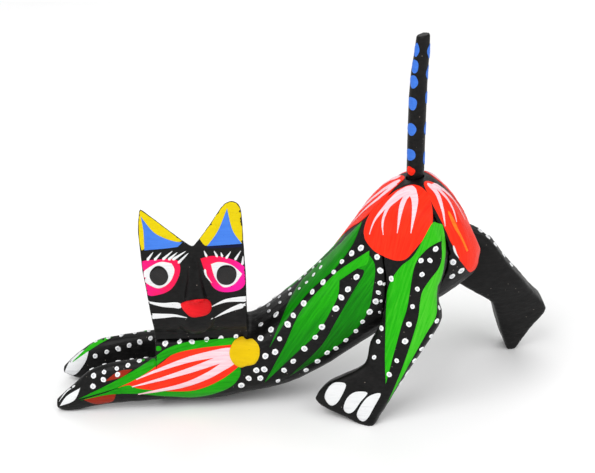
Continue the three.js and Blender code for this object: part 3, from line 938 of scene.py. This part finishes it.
def left_leg_leaf():
    """A split leaf, dots and claws down the outside of the near hind leg."""
    leaf = Paint("left_leg_leaf", GREEN, "green_paint")
    fore = outline(
        [
            (-12.4, 2.6), (-12.6, 10.9), (-12.2, 24.4), (-11.3, 32.4), (-8.2, 37.7), (-4.2, 41.4),
            (0.6, 50.1),
        ],
        [(2.6, 50.4), (4.2, 49.6)],
        [(3.6, 45.2), (2, 44.6), (-1.2, 42.4), (-4.2, 37.7), (-6.2, 26), (-8.2, 19.1)],
    )
    leaf.film(LEFT, fore, 1, grain=((-12, 3), (2, 48)), tone=(0.6, 0.1, -0.3))
    hind = outline(
        [
            (3.6, 44.2), (3.6, 40), (2.6, 37), (0.2, 33.8), (-1.9, 30.4), (-2.6, 27), (-3.5, 20.9),
            (-7.6, 7.4),
        ],
        [
            (-12, -4.2), (-7.7, 4.2), (-5.1, 9.4), (-2.5, 14.4), (-0.3, 18.6), (1.4, 21.4), (2.3, 24.1),
            (2.7, 28),
        ],
        [(2.7, 32), (3.9, 34), (4.4, 37.5), (4.8, 41), (5, 45)],
        [(4.2, 49.6)],
    )
    leaf.film(LEFT, hind, 0, grain=((-12, -4), (3, 40)), tone=(0.7, 0.1, 0.1))
    leaf.finish()
    dots = Paint("left_leg_dots", DOT, "white_paint")
    places = [
        (1.8, 42.9), (-2.3, 39.6), (0.2, 39.6), (-2, 35.5), (-3.3, 31.2), (-4.7, 26), (-5.7, 20.7),
        (-6.8, 15.6), (-9.2, 9.7), (-11.4, 5.5), (-10.6, 34.3), (-13.5, 19.5), (-14.5, 15.5),
        (-15.7, 10.7), (3.3, 25.4), (2.4, 21.6), (0.8, 17.1), (-1.9, 13.2), (-3.9, 9.6), (-6, 5.7),
        (-7.9, 2.6),
    ]
    dots.dots(LEFT, places, 0.85)
    small = [(-12.6, 32.7), (-13.3, 27.6), (-13.6, 24.1)]
    dots.dots(LEFT, small, 0.5)
    dots.finish()
    claws = Paint("left_foot_claws", WHITE, "white_paint")
    first = [
        (-30.4, -1.8), (-29.4, 1), (-27.3, 2.8), (-24.2, 2.5), (-24.8, -0.1), (-26.8, -3.5),
        (-28.8, -4.2),
    ]
    second = [
        (-24.8, -5.2), (-23.8, -2), (-21.3, 0), (-17.8, -0.2), (-19.8, -3), (-21.9, -6), (-23.6, -6.6),
    ]
    third = [
        (-20.9, -7), (-19.5, -3.8), (-17.2, -1.2), (-13.9, -0.4), (-15.6, -4.2), (-18, -8.4),
        (-19.7, -8.9),
    ]
    for claw in (first, second, third):
        claws.film(LEFT, curve(claw, True), 0, 0.14)
    claws.finish()


def rump_dots():
    """Three dots behind the near hind leg."""
    dots = Paint("rump_dots", DOT, "white_paint")
    places = [(7.6, 38.9), (10.5, 36.2), (7.8, 34.6)]
    dots.dots(LEFT, places, 0.95)
    dots.finish()


# ---- Face ----
def face():
    """The face on the flat front of the head block. Here left and right are the viewer's."""
    ears = Paint("ear_yellow", LEMON, "yellow_paint")
    left = outline(
        [(-85.6, 58.4), (-85, 50)],
        [(-83.9, 44.4), (-83.2, 44.7), (-78, 45.4), (-73.6, 46.2)],
        [(-71.8, 47.3), (-77.6, 52.7)],
        [(-84, 59.3)],
    )
    ears.film(LEFT, left, 0)
    right = outline(
        [(-67.1, 47.6), (-65.8, 45.7), (-64.6, 45.4), (-61, 46.1), (-57, 46.1)],
        [(-54.4, 45.9), (-53.2, 50), (-53.3, 57), (-56.2, 60.4), (-60, 60), (-63.6, 54)],
    )
    ears.film(LEFT, right, 0)
    ears.finish()
    inner = Paint("ear_blue", BLUE, "blue_paint")
    left = outline(
        [(-83.7, 54.2), (-83.1, 50)],
        [(-83.1, 44.4), (-77, 44.8)],
        [(-73.4, 45.2)],
        [(-72, 46.5), (-74.3, 46.8), (-77.6, 48), (-80.5, 49.9)],
    )
    inner.film(LEFT, left, 1, tone=(0.5, 0.3, 0))
    right = outline([(-58.8, 56), (-61.6, 49.6)], [(-64.9, 45.2)], [(-54.7, 45.7), (-57.4, 49.8)])
    inner.film(LEFT, right, 1, tone=(0.5, 0.3, 0))
    inner.finish()
    brow = Paint("brow_navy", NAVY, "blue_paint")
    brow.film(LEFT, outline([(-65, 45.1)], [(-55, 45.5), (-54.8, 44.8), (-64, 44.5)]), 0)
    brow.finish()
    eyes()
    mouth_and_whiskers()


def eyes():
    """Eyes with rings, whites, pupils and lashes."""
    rings = Paint("eye_rings", MAGENTA, "pink_paint")
    left = [
        (-85, 40.6), (-79.4, 41.6), (-74, 41.4), (-72.9, 39), (-73.8, 35.6), (-76, 32.6), (-79.3, 31.2),
        (-82.8, 31.2), (-85, 35.1),
    ]
    rings.film(LEFT, curve(left, True), 0, grain=((-73, 34), (-84, 40)), tone=(0.4, 0.3, 0.1))
    right = outline(
        [
            (-66.9, 41.6), (-64, 42.3), (-60.6, 42), (-56.4, 40.6), (-53.7, 38.2), (-53.8, 34.2),
            (-55.9, 32), (-60.3, 31.5), (-63.4, 33),
        ],
        [(-65, 36.6), (-66, 38.6)],
    )
    rings.film(LEFT, right, 0, grain=((-66, 41), (-55, 33)), tone=(0.28, 0.8, 0))
    rings.finish()
    whites = Paint("eye_whites", WHITE, "white_paint")
    left = outline(
        [(-85, 37.2), (-81.6, 39.6), (-78.5, 40.9)],
        [(-75.4, 40.4), (-74.6, 38.4), (-75.6, 35.6), (-77.4, 33.8), (-79.8, 33.1), (-82.8, 34.6)],
    )
    whites.film(LEFT, left, 1)
    right = outline(
        [(-63.9, 39.9), (-61.4, 40.5), (-57.8, 39.5)],
        [(-54.8, 36.8), (-57.2, 33.8), (-60.4, 33), (-62.8, 35.8)],
    )
    whites.film(LEFT, right, 1)
    whites.film(LEFT, tapered([(-65.7, 38.5), (-65.4, 36.6), (-63.8, 34.3)], 0.8), 1)
    lashes = [
        ((-82.5, 41.4), (-80.6, 43.8)), ((-80.4, 41.4), (-78.3, 43.6)), ((-78, 41.5), (-75, 44)),
        ((-76.3, 41.4), (-73.6, 43.6)), ((-75.1, 41.4), (-71.1, 43.9)), ((-73.5, 40.4), (-70.4, 43.3)),
        ((-65, 42), (-65.8, 43.9)), ((-61.9, 41.9), (-62.9, 43.8)), ((-60.4, 41.8), (-60.9, 43.3)),
        ((-59.5, 41.4), (-58, 43.5)), ((-56.9, 40.9), (-55.1, 43.6)), ((-54.7, 39.4), (-54.4, 42.2)),
    ]
    for root, tip in lashes:
        whites.film(LEFT, tapered([root, tip], 0.95, 0.05), 1, 0.07)
    whites.finish()
    pupils = Paint("pupils", PUPIL, "black_paint")
    pupils.film(LEFT, blob(-79.2, 36.8, 5.3, 5.9, 20, 0.02, 1), 2, 0.1, dome=0.3)
    pupils.film(LEFT, blob(-59.4, 36.6, 6, 6, 0, 0.02, 2), 2, 0.1, dome=0.3)
    pupils.finish()


def mouth_and_whiskers():
    mouth = Paint("mouth", SCARLET, "red_paint")
    lips = [
        (-73.2, 27.8), (-71.6, 29), (-68.4, 29.6), (-65.2, 29.4), (-64, 27.4), (-64.9, 25.2),
        (-67.6, 24.3), (-70.6, 24.5),
    ]
    mouth.film(LEFT, curve(lips, True), 1, 0.2, grain=((-73, 28), (-64, 26)), tone=(0.6, -0.3, 0), dome=0.2)
    mouth.finish()
    whiskers = Paint("whiskers", WHITE, "white_paint")
    for spine, width in (
        ([(-72.8, 27.5), (-75, 27.9), (-79, 28.1), (-84, 29.4)], 2.0),
        ([(-84, 24.7), (-79, 24.7), (-75, 24.7), (-71.4, 24.1)], 2.0),
        ([(-52.6, 29.2), (-56, 29.2), (-60, 28.8), (-64, 27.2)], 1.9),
        ([(-54.5, 27.4), (-57.6, 26.4), (-60.4, 25.2), (-63.2, 23.8)], 1.7),
        ([(-52.6, 27.9), (-54, 27.6), (-57.6, 26.6)], 1.0),
        ([(-63.6, 23.8), (-64.4, 23.4)], 0.6),
    ):
        whiskers.film(LEFT, tapered(spine, width), 0)
    whiskers.finish()


# ---- Tail ----
def tail_dabs():
    """Three columns of blue dabs up the tail and a red dab at its foot."""
    round_tail = tail_view()
    dabs = Paint("tail_dabs", BLUE, "blue_paint", "tail")
    columns = (
        (-140, 3.6, 3.8, (111, 106.2, 101.6, 95, 87, 79)),
        (-14, 2.9, 4.2, (110.4, 104, 96.4, 86.8, 77.5)),
        (105, 3.2, 3.8, (108.6, 103.2, 98, 91, 82.6)),
    )
    for turn, width, height, levels in columns:
        s = math.radians(turn) * TAIL_RADIUS
        for z in levels:
            dabs.film(round_tail, blob(s, z, width, height, 8, seed=int(z)), 0)
    dabs.finish()
    red = Paint("tail_foot_dab", RED, "red_paint", "tail")
    red.film(round_tail, blob(math.radians(-132) * TAIL_RADIUS, 73.9, 3, 2.8, 0, 0.05, 9), 0)
    red.finish()


def far_foreleg():
    """The inner face of the right foreleg, seen between the forelegs."""
    claw = Paint("right_claw_seen_left", WHITE, "white_paint")
    nail = outline(
        [(-112.4, 4.6), (-110, 9.4), (-106.4, 12.4)],
        [(-103.6, 13.2), (-104.6, 9.6), (-107.4, 5.8), (-110, 4.4)],
    )
    claw.film(LEFT, nail, 0)
    claw.finish()
    streak = Paint("right_foreleg_streak", GREEN, "green_paint")
    spine = [(-95, 18), (-100.4, 15.6), (-104.4, 12.8), (-109, 9.2)]
    streak.film(LEFT, tapered(spine, 2.4, 0.4), 1, tone=(0.6, 0, 0))
    streak.finish()
    dots = Paint("right_foreleg_inner_dots", DOT, "white_paint")
    places = [(-101.6, 11), (-97.9, 12.3), (-94.2, 13.2), (-90.7, 14.2), (-87.3, 15.2), (-83.9, 16.3)]
    dots.dots(LEFT, places, 0.85)
    dots.finish()


def right_leg_leaf():
    """A split leaf and claws down the outside of the far hind leg."""
    leaf = Paint("right_leg_leaf", GREEN, "green_paint")
    upper = outline(
        [(9, 33), (17, 34.4), (26, 27.6), (34, 18.6)],
        [(38.6, 9), (31, 15.4), (22, 22.6), (14, 28.8)],
    )
    leaf.film(RIGHT, upper, 0, grain=((9, 34), (39, 9)), tone=(0.6, 0, 0.2))
    lower = outline([(8, 29), (13, 26), (20, 20), (28, 13.6)], [(36.6, 5), (28, 8.6), (19, 15), (12, 21.6)])
    leaf.film(RIGHT, lower, 0, grain=((9, 29), (37, 5)), tone=(0.4, 0, 0.2))
    leaf.finish()
    dots = Paint("right_leg_dots", DOT, "white_paint")
    places = [
        (10.4, 30.4), (14.6, 27), (19, 23.2), (23.4, 19.6), (28, 15.8), (32.4, 12), (36.4, 7.4),
        (39.4, 4), (38, 0.2), (36.8, -3.6),
    ]
    dots.dots(RIGHT, places)
    dots.finish()
    claws = Paint("right_foot_claws", WHITE, "white_paint")
    for s, t in ((33.6, -8.6), (37, -5.4), (40.4, -2.2)):
        claws.film(RIGHT, blob(s, t, 2.2, 4.6, -40, 0.05, int(s)), 0, 0.14)
    claws.finish()


def far_leg_dots():
    """A row of dots along the front edge of the far hind leg, given as places in the carver's frame."""
    dots = Paint("right_leg_edge_dots", DOT, "white_paint")
    row = ((21.1, 14.4, 46.5), (23.5, 13.1, 44.9), (26.1, 12.7, 42.4), (29.5, 14.1, 38.2))
    for place in (*row, (32.3, 14.2, 34.7)):
        spot, normal, *_ = BODY_TREE.find_nearest(Vector(place))
        dots.dot(spot, normal, BODY_TREE, 0.9, random.Random(place[0]))
    dots.finish()


for view, side, drop in ((LEFT, "left", 0), (RIGHT, "right", 2.6)):
    torso_leaves(view, side, drop)
    torso_dots(view, side)
    foreleg_flower(view, side)
    foreleg_dots(view, side)
left_leg_leaf()
right_leg_leaf()
rump_flower()
rump_dots()
far_foreleg()
far_leg_dots()
face()
tail_dabs()


# ---- Stage ----
def floor():
    """A large pale floor with a faint mottle."""
    shader = Shader("floor")
    mottle = shader.noise(shader.solid_place((9, 9, 9)), detail=2.0)
    colour = shader.ramp(mottle, ((0.3, (0.92, 0.92, 0.92)), (0.7, (0.95, 0.95, 0.95))))
    material = shader.finish(colour, 0.8)
    mesh = bpy.data.meshes.new("floor")
    half = 3.0  # metres
    corners = [(-half, -half, 0), (half, -half, 0), (half, half, 0), (-half, half, 0)]
    mesh.from_pydata(corners, [], [(0, 1, 2, 3)])
    mesh.materials.append(material)
    placed("floor", mesh)


def light(name, place, size, power):
    """A square soft box aimed at the figure; its place and size are in metres in the row frame."""
    lamp = bpy.data.lights.new(name, "AREA")
    lamp.size = size
    lamp.energy = power
    made = placed(name, lamp)
    made.location = place
    aim = Vector((0, 0, 0.03))
    made.rotation_euler = (aim - Vector(place)).to_track_quat("-Z", "Y").to_euler()


def world():
    """Even white light from all round."""
    made = bpy.data.worlds.new("studio")
    made.use_nodes = True
    background = made.node_tree.nodes["Background"]
    background.inputs["Color"].default_value = (1, 1, 1, 1)
    background.inputs["Strength"].default_value = 0.5
    bpy.context.scene.world = made


def camera():
    """A look at the cat's left side from 25 degrees up, turned 3 degrees toward its head."""
    azimuth, elevation, distance = math.radians(-3), math.radians(25), 450
    level = math.cos(elevation)
    back = Vector((math.sin(azimuth) * level, -math.cos(azimuth) * level, math.sin(elevation)))
    right = Vector((math.cos(azimuth), math.sin(azimuth), 0))
    up = back.cross(right)
    leftward, upward = 37.64, 46.61  # from the carver's origin, in the picture's plane
    data = bpy.data.cameras.new("camera")
    data.lens = 85
    data.sensor_width = 36
    made = placed("camera", data)
    place = ROW @ (back * distance - right * leftward + up * upward)
    turn = Matrix((right, up, back)).transposed().to_4x4()
    made.matrix_world = Matrix.Translation(place) @ turn
    bpy.context.scene.camera = made


floor()
world()
light("key", (-0.45, -0.5, 0.75), 0.7, 6.5)
light("fill", (0.6, -0.45, 0.5), 0.8, 2.8)
light("back", (0.1, 0.7, 0.7), 0.8, 2.8)
camera()
bpy.context.scene.view_settings.view_transform = "Standard"
